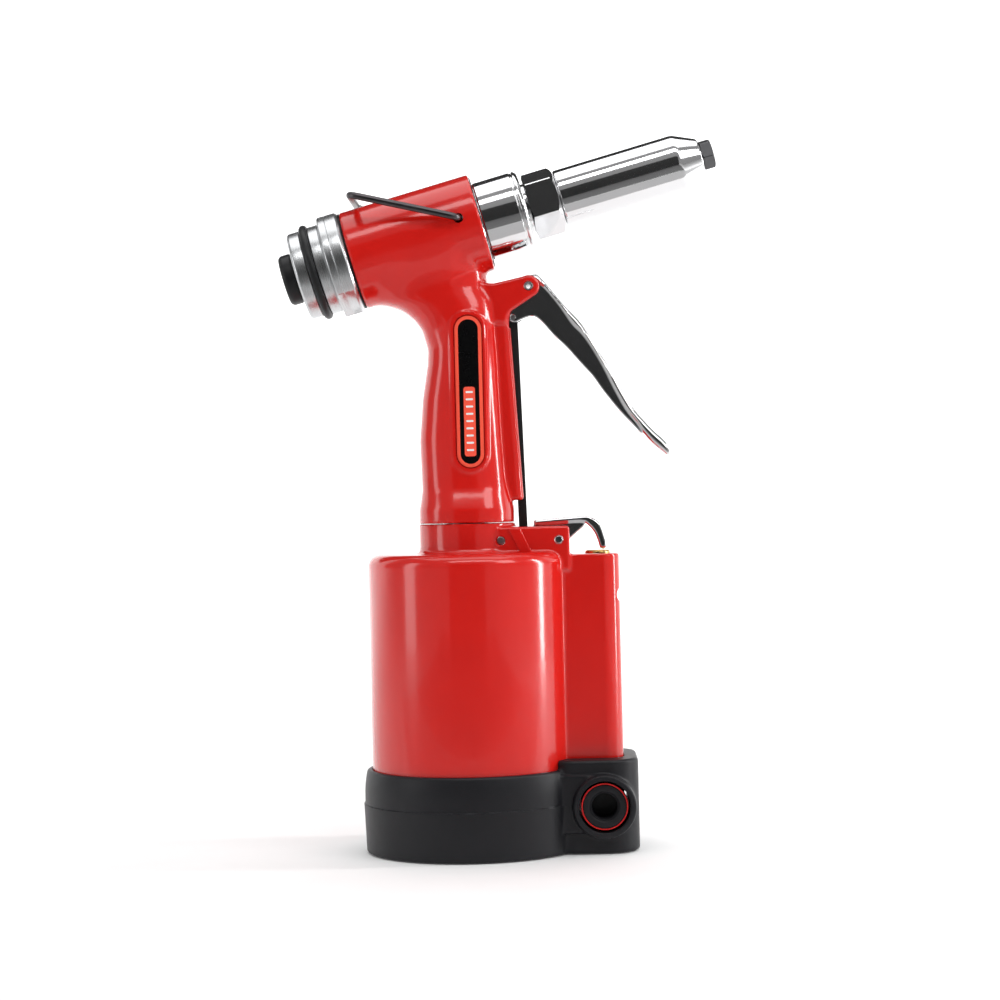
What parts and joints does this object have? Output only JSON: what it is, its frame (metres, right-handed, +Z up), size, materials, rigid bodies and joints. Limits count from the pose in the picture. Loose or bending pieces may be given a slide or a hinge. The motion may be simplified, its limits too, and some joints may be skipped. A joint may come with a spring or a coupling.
{
  "type": "pneumatic rivet gun",
  "caption": "Upright air-hydraulic blind rivet gun: a tilted head on a slim grip over a round air cylinder, with a squeeze trigger.",
  "frame": {"origin": "on the power cylinder's axis, on the underside of the base boot", "axes": "+X towards the nose, +Y to the tool's left, +Z up along the power cylinder"},
  "size_m": [0.1847, 0.092, 0.2966],
  "materials": {
    "red_paint": "gloss red paint over cast aluminium",
    "chrome": "polished chrome plate",
    "turned_aluminium": "fine turned aluminium",
    "steel": "ground steel",
    "dark_steel": "blackened steel",
    "brass": "machined brass",
    "black_plastic": "satin black moulding",
    "black_rubber": "black rubber",
    "red_plastic": "red plastic",
    "label_ink": "black printed label"
  },
  "bodies": {
    "tool_body": {"handle_casting": "red_paint", "air_cylinder": "red_paint", "base_boot": "black_plastic", "cover_snap_ring": "steel", "cylinder_end_cover": "turned_aluminium", "end_cover_seal": "black_rubber", "air_piston_spring": "steel", "ram_gland": "brass", "oil_tube": "steel", "neck_lock_pin": "steel", "valve_spring": "steel", "rocker_pin": "chrome", "label_right": "label_ink", "label_left": "label_ink", "trigger_pin": "chrome", "rear_end_cap": "turned_aluminium", "rear_gasket": "black_rubber", "rear_bumper_ring": "black_rubber", "mandrel_outlet": "black_rubber", "front_gasket": "black_rubber", "front_collar": "chrome", "front_lock_nut": "chrome", "nose_sleeve": "chrome", "nosepiece": "dark_steel"},
    "trigger_lever": {"trigger": "chrome", "trigger_link_pin": "steel"},
    "link": {"link_bar": "dark_steel"},
    "rocker": {"rocker_lever": "chrome", "rocker_link_pin": "steel"},
    "throttle_plunger": {"valve_plunger": "brass", "valve_plunger_seal": "black_rubber"},
    "inlet_slide": {"inlet_spool": "black_plastic", "spool_red_ring": "red_plastic", "spool_seal_right": "black_rubber", "spool_seal_left": "black_rubber", "spool_stop_cap": "black_plastic"},
    "bail": {"hanger_bail": "dark_steel"},
    "power_piston": {"air_piston": "turned_aluminium", "air_piston_seal": "black_rubber", "hydraulic_ram": "chrome"},
    "pull_unit": {"pull_piston": "steel", "pull_piston_seal": "black_rubber", "jaw_case": "steel", "jaw_spring": "steel"},
    "pusher": {"jaw_pusher": "brass"},
    "upper_jaw": {"jaw_upper": "dark_steel"},
    "lower_jaw": {"jaw_lower": "dark_steel"}
  },
  "joints": [
    {"name": "trigger_pivot", "type": "hinge", "parent": "tool_body", "child": "trigger_lever", "pos_m": [0.028, 0, 0.2346], "axis": [0, 1, 0], "range_deg": [0, 14], "stiffness_Nm_per_rad": 0.8, "springref_deg": -11.46},
    {"name": "link_pivot", "type": "hinge", "parent": "trigger_lever", "child": "link", "pos_m": [0.0212, 0, 0.2219], "axis": [0, 1, 0], "range_deg": [-16, 0]},
    {"name": "rocker_pivot", "type": "hinge", "parent": "tool_body", "child": "rocker", "pos_m": [0.0381, 0, 0.1288], "axis": [0, 1, 0], "range_deg": [0, 8.6]},
    {"name": "throttle_slide", "type": "slide", "parent": "tool_body", "child": "throttle_plunger", "axis": [0, 0, -1], "range_m": [0, 0.0028], "deforming": ["valve_spring"]},
    {"name": "inlet_slide_valve", "type": "slide", "parent": "tool_body", "child": "inlet_slide", "axis": [0, -1, 0], "range_m": [0, 0.005]},
    {"name": "bail_pivot", "type": "hinge", "parent": "tool_body", "child": "bail", "pos_m": [-0.00017, 0, 0.26213], "axis": [0, 1, 0], "range_deg": [-1.5, 120]},
    {"name": "power_stroke", "type": "slide", "parent": "tool_body", "child": "power_piston", "axis": [0, 0, 1], "range_m": [0, 0.06], "stiffness_N_per_m": 400, "springref_m": -0.03, "deforming": ["air_piston_spring"]},
    {"name": "pull_stroke", "type": "slide", "parent": "tool_body", "child": "pull_unit", "axis": [-0.9646, 0, -0.2639], "range_m": [0, 0.016]},
    {"name": "pusher_slide", "type": "slide", "parent": "pull_unit", "child": "pusher", "axis": [0.9646, 0, 0.2639], "range_m": [0, 0.0015]},
    {"name": "upper_jaw_slide", "type": "slide", "parent": "pull_unit", "child": "upper_jaw", "axis": [0.9957, 0, 0.0924], "range_m": [0, 0.0015]},
    {"name": "lower_jaw_slide", "type": "slide", "parent": "pull_unit", "child": "lower_jaw", "axis": [0.9041, 0, 0.4274], "range_m": [0, 0.0015]}
  ],
  "couplings": [
    {"joint": "link_pivot", "follows": "trigger_pivot", "ratio": -1.13},
    {"joint": "rocker_pivot", "follows": "trigger_pivot", "ratio": 0.6066},
    {"joint": "throttle_slide", "follows": "trigger_pivot", "m_per_rad": 0.01125},
    {"joint": "pull_stroke", "follows": "power_stroke", "ratio": 0.26667},
    {"joint": "pusher_slide", "follows": "power_stroke", "ratio": 0.0246},
    {"joint": "upper_jaw_slide", "follows": "power_stroke", "ratio": 0.025},
    {"joint": "lower_jaw_slide", "follows": "power_stroke", "ratio": 0.025}
  ]
}
